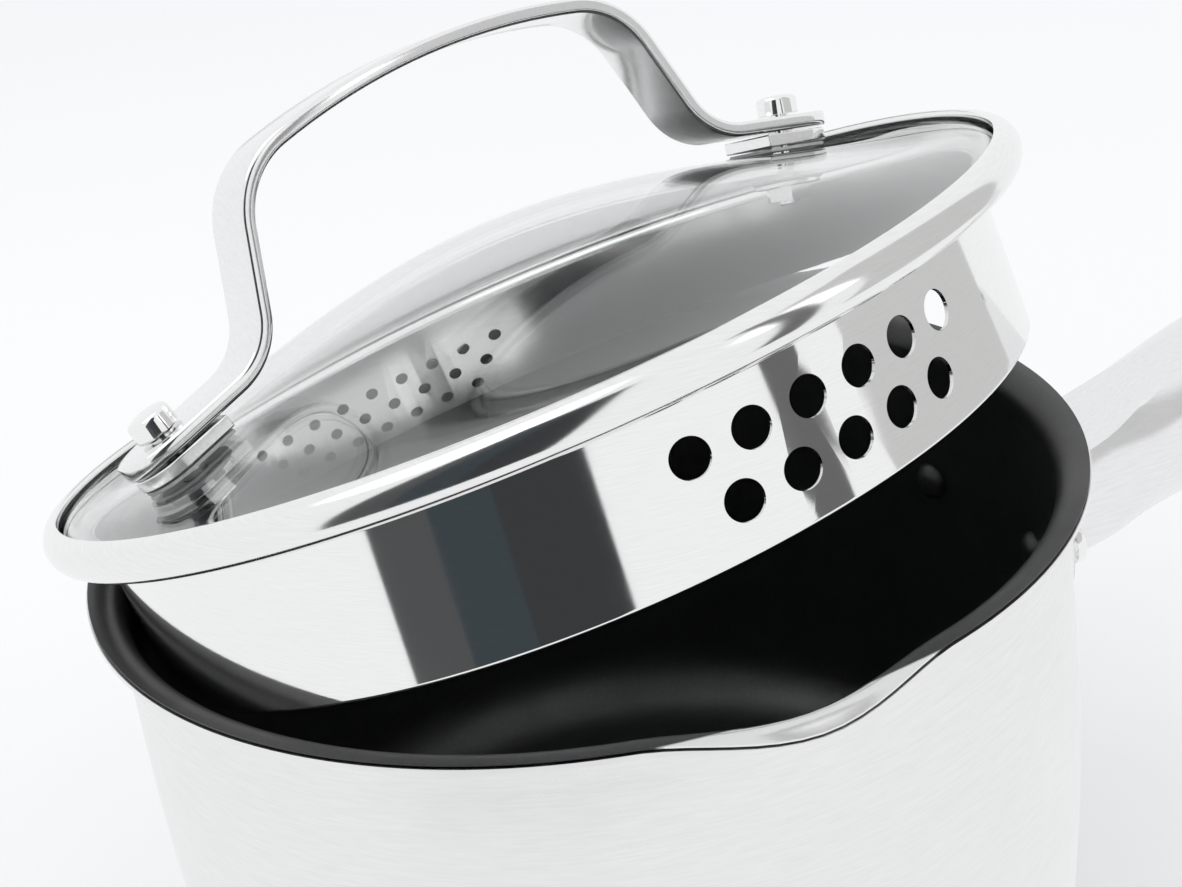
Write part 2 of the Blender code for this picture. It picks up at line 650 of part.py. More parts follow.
def handle_fixing(side, word):
    """What holds one foot of the strap to the glass, from the bolt's head down to the nut."""
    foot_pad("foot_gasket_" + word, side, GAP, GASKET, 0.4 * MM, SILICONE)
    foot_pad("foot_spacer_" + word, side, GAP + GASKET + GAP, SPACER, 0, STEEL)
    head_low = FOOT_LOW + STRAP + GAP
    sag = PAD_CENTRE - glass_top(BOLT_REACH)
    under = -(GLASS + sag) / math.cos(FOOT_SLOPE) - GAP - 0.3 * MM
    seal_low = under - GASKET
    washer_low = seal_low - GAP - WASHER
    nut_low = washer_low - GAP - NUT
    bore = BOLT_RADIUS + GAP
    head = [(0, nut_low - 1 * MM), (BOLT_RADIUS, nut_low - 1 * MM), (BOLT_RADIUS, head_low)]
    head += [(BOLT_HEAD_RADIUS, head_low), (BOLT_HEAD_RADIUS, head_low + 0.75 * BOLT_HEAD)]
    head += [(0.8 * BOLT_HEAD_RADIUS, head_low + 0.95 * BOLT_HEAD), (0, head_low + BOLT_HEAD)]
    round_piece("handle_bolt_" + word, side, head, STEEL)
    round_piece("inner_gasket_" + word, side, tube(bore, WASHER_RADIUS, seal_low, under), SILICONE)
    washer = tube(bore, WASHER_RADIUS - 0.5 * MM, washer_low, washer_low + WASHER)
    round_piece("handle_washer_" + word, side, washer, STEEL)
    nut_bore = bore / math.cos(math.pi / 6)  # corner radius of a six-sided bore, whose flats clear the bolt
    nut = tube(nut_bore, NUT_RADIUS, nut_low, nut_low + NUT)
    round_piece("handle_nut_" + word, side, nut, STEEL, steps=6)


def tube(inner, outer, low, high):
    return [(inner, low), (outer, low), (outer, high), (inner, high)]


def lid_pivot():
    """The empty on the hinge line. It carries the lid from shut to its tipped place."""
    across = Vector((math.cos(TIP_DIRECTION), math.sin(TIP_DIRECTION), 0))
    place = across * TIP_RADIUS + Vector((0, 0, PAN_HEIGHT - TIP_DEPTH))
    axis = Vector((-across.y, across.x, 0))
    pivot = bpy.data.objects.new("lid_pivot", None)
    bpy.context.scene.collection.objects.link(pivot)
    pivot.matrix_world = Matrix.Translation(place) @ Matrix.Rotation(TIP_ANGLE, 4, axis)
    shut = bpy.data.objects.new("shut_lid_frame", None)
    bpy.context.scene.collection.objects.link(shut)
    shut.parent = pivot
    shut.matrix_local = Matrix.Translation(Vector((0, 0, PAN_HEIGHT)) - place) @ Matrix.Rotation(LID_TURN, 4, "Z")
    return shut


# ---------------------------------------------------------------- build

for old in list(bpy.data.objects):
    bpy.data.objects.remove(old, do_unlink=True)

STEEL = material("stainless_steel", (0.78, 0.78, 0.77), 1.0, 0.22)
COAT = material("nonstick_coating", (0.02, 0.02, 0.022), 0.0, 0.5)
ALUMINIUM = material("aluminium_core", (0.7, 0.71, 0.72), 1.0, 0.4)
GLASS_LOOK = material("clear_glass", (0.93, 0.96, 0.95), 0.0, 0.02, 0.35)
SILICONE = material("grey_silicone", (0.2, 0.2, 0.2), 0.0, 0.6)
LID = lid_pivot()

pan_shell()
nonstick_lining()
base()
long_handle()
handle_rivet("handle_rivet_near", -1)
handle_rivet("handle_rivet_far", 1)
lid_glass()
lid_ring()
ring_sealant()
strainer_band()
strap_handle()
handle_fixing(-1, "left")
handle_fixing(1, "right")
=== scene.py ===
import json
import math

import bmesh
import bpy
from mathutils import Matrix, Vector


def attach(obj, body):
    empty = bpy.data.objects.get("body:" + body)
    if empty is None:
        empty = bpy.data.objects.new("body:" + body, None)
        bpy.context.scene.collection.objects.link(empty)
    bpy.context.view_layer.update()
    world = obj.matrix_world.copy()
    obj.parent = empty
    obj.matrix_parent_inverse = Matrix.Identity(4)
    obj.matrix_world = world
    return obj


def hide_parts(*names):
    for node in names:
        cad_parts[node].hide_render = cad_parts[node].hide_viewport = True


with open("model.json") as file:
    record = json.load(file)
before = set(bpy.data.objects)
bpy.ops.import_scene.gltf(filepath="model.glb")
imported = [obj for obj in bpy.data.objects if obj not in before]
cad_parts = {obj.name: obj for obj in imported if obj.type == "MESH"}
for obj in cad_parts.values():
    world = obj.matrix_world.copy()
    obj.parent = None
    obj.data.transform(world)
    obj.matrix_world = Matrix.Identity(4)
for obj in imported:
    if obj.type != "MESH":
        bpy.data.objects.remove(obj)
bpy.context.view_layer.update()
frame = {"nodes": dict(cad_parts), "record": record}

MM = 0.001
GAP = 0.3 * MM
STEPS = 180  # flats round the pan and the lid
RIM_TOP = 100 * MM

# Pan
PAN_RADIUS, RIM_RADIUS, FLARE = 79.4 * MM, 85.2 * MM, 4.6 * MM
BELLY, BELLY_DEPTH, TAPER, TAPER_DEPTH, CORNER = 1.1 * MM, 42 * MM, 2.5 * MM, 86 * MM, 14 * MM
COATING, WALL, FLOOR_TOP = 0.3 * MM, 0.9 * MM, 5.9 * MM
SPOUT_REACH, SPOUT_DIP, SPOUT_DEPTH, SPOUT_HALF = 3.4 * MM, 2.4 * MM, 17 * MM, math.radians(17)
LIP_RUN = 4.2 * MM  # how far the coating stops short of the edge in the middle of a spout
LIP_START = RIM_RADIUS + 0.6 * MM
LIP_FADE = 2500.0  # one over the width, in metres, of the coating's edge

# Long handle, one casting. Heights are measured down from the rim.
HANDLE_DEPTH = 31.5 * MM  # middle of the flange and of the rivets
FLANGE = 4 * MM
FLANGE_WIDTH = 50 * MM
FLANGE_HEIGHT = 25 * MM
HANDLE_LENGTH = 180 * MM  # from the pan's wall to the end
HANDLE_WIDTH = 25.6 * MM
# Along the handle: distance from the wall; depth of the top, the side's crease and the bottom;
# and half widths of the top and the bottom
HANDLE_STATIONS = (
    (10 * MM, 21.0 * MM, 37.0 * MM, 41.2 * MM, 9.5 * MM, 7.0 * MM),
    (19 * MM, 18.0 * MM, 33.3 * MM, 40.3 * MM, 9.5 * MM, 6.5 * MM),
    (29 * MM, 13.7 * MM, 23.8 * MM, 38.0 * MM, 7.3 * MM, 6.5 * MM),
    (36 * MM, 11.0 * MM, 18.5 * MM, 36.5 * MM, 5.7 * MM, 6.5 * MM),
    (48 * MM, 7.4 * MM, 12.6 * MM, 33.2 * MM, 4.8 * MM, 6.5 * MM),
    (68 * MM, 3.0 * MM, 7.2 * MM, 26.5 * MM, 4.8 * MM, 6.5 * MM),
    (98 * MM, -1.6 * MM, 2.6 * MM, 18.0 * MM, 5.2 * MM, 6.5 * MM),
    (132 * MM, -5.2 * MM, -1.4 * MM, 10.4 * MM, 6.2 * MM, 7.0 * MM),
    (160 * MM, -7.4 * MM, -3.8 * MM, 6.0 * MM, 7.0 * MM, 8.0 * MM),
    (180 * MM, -8.6 * MM, -5.2 * MM, 3.2 * MM, 7.0 * MM, 8.0 * MM),
)
RIVET_ANGLE, RIVET_RADIUS = math.radians(13), 2.5 * MM
RIVET_HEAD_RADIUS, RIVET_HEAD = 3.7 * MM, 2.2 * MM
EYE_INSET, EYE_LENGTH, EYE_WIDTH = 17 * MM, 18 * MM, 8 * MM

# Lid, in its own frame: shut, with the rim at height 0 and the strap along X
BAND_RADIUS, BAND_DEPTH, BAND_WALL, BAND_BEND = 78 * MM, 24.4 * MM, 0.6 * MM, 1.6 * MM
RING_RADIUS, RING_HEIGHT, RING_LIP, RING_WALL = 86.2 * MM, 6.6 * MM, 82.7 * MM, 0.7 * MM
GLASS, GLASS_RADIUS, DOME, DOME_SHAPE = 3.0 * MM, 84.3 * MM, 16 * MM, 1.75
FLANGE_LOW, GLASS_LOW = 1.3 * MM, 2.2 * MM  # undersides of the band's flange and of the glass's edge
BAND_EDGE = GLASS_RADIUS - 0.6 * MM  # outer edge of the flange under the glass
# Holes of the band: depth and count of each row, angle between two holes, and radius
BIG_HOLES = ((8.3 * MM, 6), (16.8 * MM, 5)), math.radians(6.9), 3.0 * MM
SMALL_HOLES = ((9.9 * MM, 9), (15.1 * MM, 8), (20.3 * MM, 7)), math.radians(5.45), 1.4 * MM
STRAP_WIDTH, STRAP, TOE, FOOT = 14 * MM, 2.8 * MM, 8.5 * MM, 21 * MM
STRAP_INSET, STRAP_EDGE = 0.3 * MM, 0.9 * MM
LOW_BEND, LEG, LEG_ANGLE, SHOULDER = 12 * MM, 13 * MM, math.radians(74), 15 * MM
CROWN_ANGLE, BOLT_REACH, SPACER, GASKET = math.radians(14), 62.5 * MM, 2.2 * MM, 0.6 * MM
BOLT_RADIUS, BOLT_HEAD_RADIUS, BOLT_HEAD = 2.0 * MM, 3.7 * MM, 3.6 * MM
WASHER, NUT, BOLT_END = 0.8 * MM, 3.0 * MM, 1.0 * MM
LID_TURN = math.radians(14)

# Studio
PANEL_RADIUS, PANEL_TOP = 0.16, 0.4
FLOOR_RADIUS, FLOOR_DROP = 6.0, 0.0002


# ---------------------------------------------------------------- meshes


def smoothstep(x):
    x = min(max(x, 0.0), 1.0)
    return x * x * (3 - 2 * x)


def arc(centre, radius, start, end, steps):
    angles = [start + (end - start) * i / steps for i in range(steps + 1)]
    return [(centre[0] + radius * math.cos(a), centre[1] + radius * math.sin(a)) for a in angles]


def finish(name, bm, body, node, look, place=None, sharp=35, bevel=0.0):
    """One visual piece: it stands for its CAD node and rides on the node's body."""
    bmesh.ops.recalc_face_normals(bm, faces=bm.faces)
    if place:
        bmesh.ops.transform(bm, matrix=place, verts=bm.verts)
    mesh = bpy.data.meshes.new(name)
    bm.to_mesh(mesh)
    bm.free()
    mesh.shade_smooth()
    mesh.set_sharp_from_angle(angle=math.radians(sharp))
    made = bpy.data.objects.new(name, mesh)
    bpy.context.scene.collection.objects.link(made)
    mesh.materials.append(look)
    if bevel:
        edge = made.modifiers.new("edge", "BEVEL")
        edge.width, edge.segments = bevel, 2
        edge.limit_method, edge.angle_limit = "ANGLE", math.radians(40)
        edge.harden_normals = False
    if node:
        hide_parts(node)
    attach(made, body)
    return made


def repaint(name, look):
    """Gives a CAD node that is shown as it is its material."""
    materials = frame["nodes"][name].data.materials
    materials.clear()
    materials.append(look)


def turned(profile, steps=STEPS, warp=None):
    """A profile of (radius, height) turned round Z. warp moves its points at each angle."""
    bm = bmesh.new()
    rings = []
    for radius, height in profile:
        if radius == 0:
            rings.append([bm.verts.new((0, 0, height))])
            continue
        ring = []
        for step in range(steps):
            angle = 2 * math.pi * step / steps
            r, z = warp(radius, height, angle) if warp else (radius, height)
            ring.append(bm.verts.new((r * math.cos(angle), r * math.sin(angle), z)))
        rings.append(ring)
    for first, second in zip(rings, rings[1:] + rings[:1]):
        if len(first) == 1 and len(second) == 1:
            continue
        for step in range(steps):
            after = (step + 1) % steps
            corners = [first[step % len(first)], first[after % len(first)]]
            corners += [second[after % len(second)], second[step % len(second)]]
            bm.faces.new(list(dict.fromkeys(corners)))
    return bm


def lofted(loops):
    """A closed body through loops with the same number of points, capped at both ends."""
    bm = bmesh.new()
    rows = [[bm.verts.new(point) for point in loop] for loop in loops]
    for first, second in zip(rows, rows[1:]):
        for i in range(len(first)):
            j = (i + 1) % len(first)
            bm.faces.new((first[i], first[j], second[j], second[i]))
    bm.faces.new(rows[0])
    bm.faces.new(rows[-1])
    return bm


def superellipse(width, height, steps=64, power=2.8):
    points = []
    for step in range(steps):
        angle = 2 * math.pi * (step + 0.5) / steps
        c, s = math.cos(angle), math.sin(angle)
        across = math.copysign(abs(c) ** (2 / power), c) * width / 2
        points.append((across, math.copysign(abs(s) ** (2 / power), s) * height / 2))
    return points


def cylinder(radius, low, high, steps=32):
    return turned([(0, low), (radius, low), (radius, high), (0, high)], steps)


def moved(bm, matrix):
    bmesh.ops.transform(bm, matrix=matrix, verts=bm.verts)
    return bm


def joined(parts):
    whole = bmesh.new()
    for part in parts:
        bmesh.ops.recalc_face_normals(part, faces=part.faces)
        mesh = bpy.data.meshes.new("part")
        part.to_mesh(mesh)
        part.free()
        whole.from_mesh(mesh)
        bpy.data.meshes.remove(mesh)
    return whole


def cut(bm, cutter_bm):
    """Cuts one bmesh out of another with an exact Boolean and returns the result."""
    bmesh.ops.recalc_face_normals(bm, faces=bm.faces)
    bmesh.ops.recalc_face_normals(cutter_bm, faces=cutter_bm.faces)
    objects = []
    for name, source in (("whole", bm), ("cutter", cutter_bm)):
        mesh = bpy.data.meshes.new(name)
        source.to_mesh(mesh)
        source.free()
        objects.append(bpy.data.objects.new(name, mesh))
        bpy.context.scene.collection.objects.link(objects[-1])
    whole, cutter = objects
    modifier = whole.modifiers.new("cut", "BOOLEAN")
    modifier.operation, modifier.solver, modifier.object = "DIFFERENCE", "EXACT", cutter
    graph = bpy.context.evaluated_depsgraph_get()
    result = bmesh.new()
    evaluated = whole.evaluated_get(graph)
    result.from_mesh(evaluated.to_mesh())
    evaluated.to_mesh_clear()
    for obj in objects:
        mesh = obj.data
        bpy.data.objects.remove(obj, do_unlink=True)
        bpy.data.meshes.remove(mesh)
    return result


# ---------------------------------------------------------------- materials


def new_material(name, colour, metallic, roughness):
    made = bpy.data.materials.new(name)
    made.use_nodes = True
    shader = made.node_tree.nodes["Principled BSDF"]
    shader.inputs["Base Color"].default_value = (*colour, 1.0)
    shader.inputs["Metallic"].default_value = metallic
    shader.inputs["Roughness"].default_value = roughness
    return made, made.node_tree, shader


def node(tree, kind, **inputs):
    made = tree.nodes.new(kind)
    for key, value in inputs.items():
        made.inputs[key.replace("_", " ")].default_value = value
    return made


def mapped_noise(tree, scale, stretch, detail=4.0, rough=0.6):
    """Noise in object space, stretched along axes, for brushing and tone changes."""
    coords = tree.nodes.new("ShaderNodeTexCoord")
    mapping = node(tree, "ShaderNodeMapping", Scale=stretch)
    noise = node(tree, "ShaderNodeTexNoise", Scale=scale, Detail=detail, Roughness=rough)
    tree.links.new(coords.outputs["Object"], mapping.inputs["Vector"])
    tree.links.new(mapping.outputs["Vector"], noise.inputs["Vector"])
    return noise.outputs["Fac"]


def spread(tree, value, low, high, out_low, out_high):
    """A Map Range of a value."""
    made = node(tree, "ShaderNodeMapRange", From_Min=low, From_Max=high, To_Min=out_low, To_Max=out_high)
    tree.links.new(value, made.inputs["Value"])
    return made.outputs["Result"]


def mix_colour(tree, fac, a, b):
    """Mixes two fixed colours by a socket."""
    made = tree.nodes.new("ShaderNodeMix")
    made.data_type = "RGBA"
    made.inputs["A"].default_value = (*a, 1.0)
    made.inputs["B"].default_value = (*b, 1.0)
    tree.links.new(fac, made.inputs["Factor"])
    return made.outputs["Result"]


def bump(tree, shader, height, strength, distance):
    made = node(tree, "ShaderNodeBump", Strength=strength, Distance=distance)
    tree.links.new(height, made.inputs["Height"])
    tree.links.new(made.outputs["Normal"], shader.inputs["Normal"])


def steel(name, tone, rough_low, rough_high, stretch, scale, strength, distance, patch=60):
    """Stainless steel: brushed grain, cloudy roughness, and small changes of tone."""
    made, tree, shader = new_material(name, tone, 1.0, rough_low)
    grain = mapped_noise(tree, scale, stretch)
    cloud = mapped_noise(tree, patch, (1, 1, 1), 3.0)
    low = tuple(c * 0.94 for c in tone)
    colour = mix_colour(tree, spread(tree, grain, 0.3, 0.7, 0, 1), low, tone)
    tree.links.new(colour, shader.inputs["Base Color"])
    tree.links.new(spread(tree, cloud, 0.3, 0.7, rough_low, rough_high), shader.inputs["Roughness"])
    bump(tree, shader, grain, strength, distance)
    return made


def mix_of(tree, fac, a, b, kind):
    """Mixes a socket with a fixed value of the kind RGBA or FLOAT."""
    made = tree.nodes.new("ShaderNodeMix")
    made.data_type = kind
    sockets = [socket for socket in made.inputs if socket.enabled]
    first, second = sockets[-2], sockets[-1]
    tree.links.new(fac, sockets[0])
    tree.links.new(a, first)
    second.default_value = b
    return [socket for socket in made.outputs if socket.enabled][0]


def maths(tree, operation, a, b=0.0, clamp=False):
    """A Math node of two sockets or numbers."""
    made = tree.nodes.new("ShaderNodeMath")
    made.operation, made.use_clamp = operation, clamp
    for socket, value in zip(made.inputs, (a, b)):
        if isinstance(value, (int, float)):
            socket.default_value = value
        else:
            tree.links.new(value, socket)
    return made.outputs[0]


def bare_lip(tree):
    """1 where the coating stops short of the rim's edge at the two pouring spouts."""
    coords = tree.nodes.new("ShaderNodeTexCoord")
    parts = tree.nodes.new("ShaderNodeSeparateXYZ")
    tree.links.new(coords.outputs["Object"], parts.inputs["Vector"])
    x, y = parts.outputs["X"], parts.outputs["Y"]
    squares = maths(tree, "ADD", maths(tree, "MULTIPLY", x, x), maths(tree, "MULTIPLY", y, y))
    radius = maths(tree, "SQRT", squares)
    away = maths(tree, "DIVIDE", maths(tree, "ABSOLUTE", x), radius)
    share = spread(tree, away, 0.0, math.sin(SPOUT_HALF), 1.0, 0.0)
    edge = maths(tree, "MULTIPLY_ADD", share, -LIP_RUN)
    edge.node.inputs[2].default_value = LIP_START
    return maths(tree, "MULTIPLY_ADD", maths(tree, "SUBTRACT", radius, edge), LIP_FADE, clamp=True)


def coating_look():
    made, tree, shader = new_material("nonstick_coating", (0.012, 0.012, 0.013), 0.0, 0.5)
    shader.inputs["Specular IOR Level"].default_value = 0.7
    fine = mapped_noise(tree, 1500, (1, 1, 1), 2.0)
    cloud = mapped_noise(tree, 45, (1, 1, 1), 3.0)
    dark, pale = (0.008, 0.008, 0.009), (0.018, 0.018, 0.019)
    speckle = mix_colour(tree, spread(tree, fine, 0.35, 0.75, 0, 1), dark, pale)
    lip = bare_lip(tree)
    colour = mix_of(tree, lip, speckle, (0.86, 0.86, 0.855, 1.0), "RGBA")
    tree.links.new(colour, shader.inputs["Base Color"])
    rough = spread(tree, cloud, 0.3, 0.7, 0.38, 0.5)
    tree.links.new(mix_of(tree, lip, rough, 0.16, "FLOAT"), shader.inputs["Roughness"])
    tree.links.new(lip, shader.inputs["Metallic"])
    bump(tree, shader, fine, 0.25, 0.00003)
    return made


def glass_look():
    made, tree, shader = new_material("clear_glass", (0.965, 0.98, 0.975), 0.0, 0.01)
    shader.inputs["Transmission Weight"].default_value = 1.0
    shader.inputs["IOR"].default_value = 1.47
    cloud = mapped_noise(tree, 30, (1, 1, 1), 2.0)
    tree.links.new(spread(tree, cloud, 0.3, 0.7, 0.0, 0.02), shader.inputs["Roughness"])
    return made


def silicone_look():
    made, tree, shader = new_material("grey_silicone", (0.55, 0.56, 0.56), 0.0, 0.45)
    fine = mapped_noise(tree, 900, (1, 1, 1), 2.0)
    dark, pale = (0.5, 0.51, 0.51), (0.6, 0.61, 0.61)
    colour = mix_colour(tree, spread(tree, fine, 0.3, 0.7, 0, 1), dark, pale)
    tree.links.new(colour, shader.inputs["Base Color"])
    bump(tree, shader, fine, 0.15, 0.00003)
    return made


def aluminium_look():
    made, tree, shader = new_material("aluminium_core", (0.75, 0.76, 0.77), 1.0, 0.4)
    grain = mapped_noise(tree, 300, (1, 1, 1), 3.0)
    tree.links.new(spread(tree, grain, 0.3, 0.7, 0.34, 0.46), shader.inputs["Roughness"])
    bump(tree, shader, grain, 0.1, 0.00004)
    return made


SATIN = steel("satin_steel", (0.88, 0.88, 0.875), 0.26, 0.34, (1, 1, 14), 160, 0.05, 0.00003)
GRIP_STEEL = steel("grip_satin_steel", (0.88, 0.88, 0.885), 0.2, 0.27, (1, 10, 10), 190, 0.04, 0.00003)
BRIGHT = steel("bright_steel", (0.93, 0.93, 0.925), 0.05, 0.09, (1, 1, 30), 260, 0.05, 0.00002)
# Inside face of the perforated band: the satin roughness is its finish. The tone, darker than the bright
# outer face of the same sheet, is painted shade of the lid's hollow.
BAND_INSIDE_PAINTED_SHADE = steel("satin_band_inside_painted_shade", (0.78, 0.78, 0.775), 0.1, 0.16, (1, 1, 14), 200, 0.08, 0.00003)
RING_STEEL = steel("ring_steel", (0.91, 0.91, 0.905), 0.1, 0.15, (1, 1, 18), 240, 0.06, 0.00003)
STRAP_STEEL = steel("strap_steel", (0.9, 0.9, 0.9), 0.1, 0.16, (8, 1, 8), 260, 0.08, 0.00003)
COAT, GLASS_LOOK, SILICONE, ALUMINIUM = coating_look(), glass_look(), silicone_look(), aluminium_look()


# ---------------------------------------------------------------- pan


def wall_radius(depth):
    swollen = PAN_RADIUS + BELLY
    if depth < BELLY_DEPTH:
        share = (BELLY_DEPTH - depth) / (BELLY_DEPTH - FLARE)
        return swollen - BELLY * share * share
    share = (depth - BELLY_DEPTH) / (TAPER_DEPTH - BELLY_DEPTH)
    return swollen - TAPER * share * share


def wall_lean(depth):
    return math.atan((wall_radius(depth - MM) - wall_radius(depth + MM)) / (2 * MM))


def inside_curve():
    centre = (PAN_RADIUS + FLARE, RIM_TOP - FLARE)
    curve = [(RIM_RADIUS, RIM_TOP, (0.0, -1.0))]
    for step in range(13):
        angle = math.pi / 2 * (1 + step / 12)
        c, s = math.cos(angle), math.sin(angle)
        curve.append((centre[0] + FLARE * c, centre[1] + FLARE * s, (-c, -s)))
    lean, corner_depth = 0.0, 0.0
    for _ in range(8):
        corner_depth = RIM_TOP - FLOOR_TOP - CORNER * (1 - math.sin(lean))
        lean = wall_lean(corner_depth)
    for step in range(1, 25):
        depth = FLARE + (corner_depth - FLARE) * step / 24
        angle = wall_lean(depth)
        curve.append((wall_radius(depth), RIM_TOP - depth, (math.cos(angle), -math.sin(angle))))
    r, z, normal = curve[-1]
    centre = (r - CORNER * normal[0], z - CORNER * normal[1])
    for step in range(1, 11):
        angle = -lean - (math.pi / 2 - lean) * step / 10
        c, s = math.cos(angle), math.sin(angle)
        curve.append((centre[0] + CORNER * c, centre[1] + CORNER * s, (c, s)))
    for r in (50 * MM, 30 * MM, 10 * MM):
        curve.append((r, FLOOR_TOP, (0.0, -1.0)))
    curve.append((0.0, FLOOR_TOP, (0.0, -1.0)))
    return curve


def offset_curve(distance, edge_inset=0.0):
    points = [(r + distance * n[0] if r else 0, z + distance * n[1]) for r, z, n in inside_curve()]
    points[0] = (points[0][0] - edge_inset, points[0][1])
    return points


def spout_share(angle):
    away = abs(abs((angle + math.pi) % (2 * math.pi) - math.pi) - math.pi / 2)
    return smoothstep(1 - away / SPOUT_HALF)


def spout_warp(radius, height, angle):
    share = spout_share(angle)
    rise = smoothstep(1 - (RIM_TOP - height) / SPOUT_DEPTH)
    out = smoothstep((radius - PAN_RADIUS) / (RIM_RADIUS - PAN_RADIUS))
    return radius + SPOUT_REACH * share * rise, height - SPOUT_DIP * share * rise * out


def rivet_frame(side):
    turn = Matrix.Rotation(side * RIVET_ANGLE, 4, "Z") @ Matrix.Rotation(math.pi / 2, 4, "Y")
    return Matrix.Translation((0, 0, RIM_TOP - HANDLE_DEPTH)) @ turn


def pan():
    inner, outer = offset_curve(COATING + GAP), offset_curve(COATING + GAP + WALL)
    edge = [(RIM_RADIUS, outer[0][1] + 0.2 * MM)]
    shell = turned(inner + outer[::-1] + edge, warp=spout_warp)
    finish("pan_shell_skin", shell, "pan", "pan_shell", SATIN)
    inner, outer = offset_curve(0.0, GAP), offset_curve(COATING, GAP)
    lining = turned(inner + outer[::-1], warp=spout_warp)
    finish("coating_skin", lining, "pan", "nonstick_lining", COAT)
    repaint("base_core", ALUMINIUM)
    repaint("base_cap", SATIN)


# ---------------------------------------------------------------- long handle


def outer_wall():
    return PAN_RADIUS + BELLY + COATING + GAP + WALL


def half_section(top, crease, bottom, top_half, widest_half, bottom_half):
    """Points (across, depth) down one side of the handle: flat top, ridge, side, crease, underside."""
    points = [(top_half * share, top) for share in (0.0, 0.3, 0.6, 0.85)]
    curves = (
        ((top_half, top), (widest_half, top + 0.3 * (crease - top)), (widest_half, crease), 14),
        ((widest_half, crease), (widest_half, bottom - 0.3 * (bottom - crease)), (bottom_half, bottom), 14),
    )
    for start, bulge, end, steps in curves:
        for step in range(steps):
            u = step / steps
            weights = ((1 - u) ** 2, 2 * u * (1 - u), u * u)
            across = sum(w * p[0] for w, p in zip(weights, (start, bulge, end)))
            depth = sum(w * p[1] for w, p in zip(weights, (start, bulge, end)))
            points.append((across, depth))
    return points + [(bottom_half, bottom), (0.5 * bottom_half, bottom), (0.0, bottom)]


def handle_loop(out, half, wrap=0.0):
    """A closed loop across the handle. wrap bends it round the pan's wall, from 0 to 1."""
    bend = outer_wall() + GAP
    loop = half + [(-across, depth) for across, depth in reversed(half[1:-1])]
    points = []
    for across, depth in loop:
        back = bend - math.sqrt(bend * bend - across * across)
        points.append((bend + out - wrap * back, across, RIM_TOP - depth))
    return points


def flange_half(inset):
    """The flange's outline, made smaller all round by an inset."""
    high, wide = FLANGE_HEIGHT / 2 - inset, FLANGE_WIDTH / 2 - inset
    top, bottom = HANDLE_DEPTH - high, HANDLE_DEPTH + high
    return half_section(top, HANDLE_DEPTH, bottom, 0.62 * wide, wide, 0.62 * wide)


def handle_half(out):
    """The handle's half section at a distance from the wall, smooth between the stations."""
    rows = HANDLE_STATIONS
    index = max(i for i in range(len(rows) - 1) if rows[i][0] <= out + 0.01 * MM)
    before, start, end = rows[max(index - 1, 0)], rows[index], rows[index + 1]
    after = rows[min(index + 2, len(rows) - 1)]
    u = (out - start[0]) / (end[0] - start[0])
    values = []
    for k in range(1, 6):
        in_slope = (end[k] - before[k]) / (end[0] - before[0]) * (end[0] - start[0])
        out_slope = (after[k] - start[k]) / (after[0] - start[0]) * (end[0] - start[0])
        value = (2 * u**3 - 3 * u**2 + 1) * start[k] + (u**3 - 2 * u**2 + u) * in_slope
        values.append(value + (3 * u**2 - 2 * u**3) * end[k] + (u**3 - u**2) * out_slope)
    top, crease, bottom, top_half, bottom_half = values
    return half_section(top, crease, bottom, top_half, HANDLE_WIDTH / 2, bottom_half)


def scaled_half(half, share):
    """A half section shrunk about its middle, for the handle's rounded end."""
    middle = (half[0][1] + half[-1][1]) / 2
    return [(across * share, middle + (depth - middle) * share**0.4) for across, depth in half]


def long_handle():
    # The flange starts inside the wall, follows its outside and has a rounded edge
    loops = [handle_loop(-5 * MM, flange_half(0.0), 0.0)]
    loops.append(handle_loop(FLANGE - 1.5 * MM, flange_half(0.0), 1.0))
    loops.append(handle_loop(FLANGE - 0.4 * MM, flange_half(0.5 * MM), 1.0))
    loops.append(handle_loop(FLANGE, flange_half(1.6 * MM), 1.0))
    # The neck between the flange and the first station
    first = HANDLE_STATIONS[0]
    root = half_section(first[1], first[2], first[3], first[4], HANDLE_WIDTH / 2, first[5])
    waist = [(across * 0.9, depth) for across, depth in root]
    loops.append(handle_loop(FLANGE + 0.6 * MM, [(across * 1.1, depth) for across, depth in waist], 0.9))
    loops.append(handle_loop(FLANGE + 2.6 * MM, waist, 0.5))
    last = HANDLE_STATIONS[-1][0]
    stretch = (HANDLE_LENGTH - first[0]) / (last - first[0])
    round_off = HANDLE_WIDTH / 2
    outs = [first[0] + (last - first[0]) * i / 64 for i in range(64)]
    for out in outs:
        if (last - out) * stretch > round_off:
            loops.append(handle_loop(first[0] + (out - first[0]) * stretch, handle_half(out)))
    for step in range(15):
        angle = math.radians(88) * step / 14
        place = HANDLE_LENGTH - round_off * (1 - math.sin(angle))
        out = first[0] + (place - first[0]) / stretch
        loops.append(handle_loop(place, scaled_half(handle_half(min(out, last)), math.cos(angle))))
    seat = turned([(0, RIM_TOP)] + offset_curve(COATING + GAP + WALL + GAP))
    eye_x = outer_wall() + GAP + HANDLE_LENGTH - EYE_INSET
    eye = superellipse(EYE_LENGTH, EYE_WIDTH, 40, 3.2)
    pin = lofted([[(eye_x + a, b, z) for a, b in eye] for z in (RIM_TOP - 30 * MM, RIM_TOP + 40 * MM)])
    bm = cut(cut(lofted(loops), seat), pin)
    finish("handle_casting", bm, "pan", "long_handle", GRIP_STEEL, sharp=50, bevel=0.35 * MM)


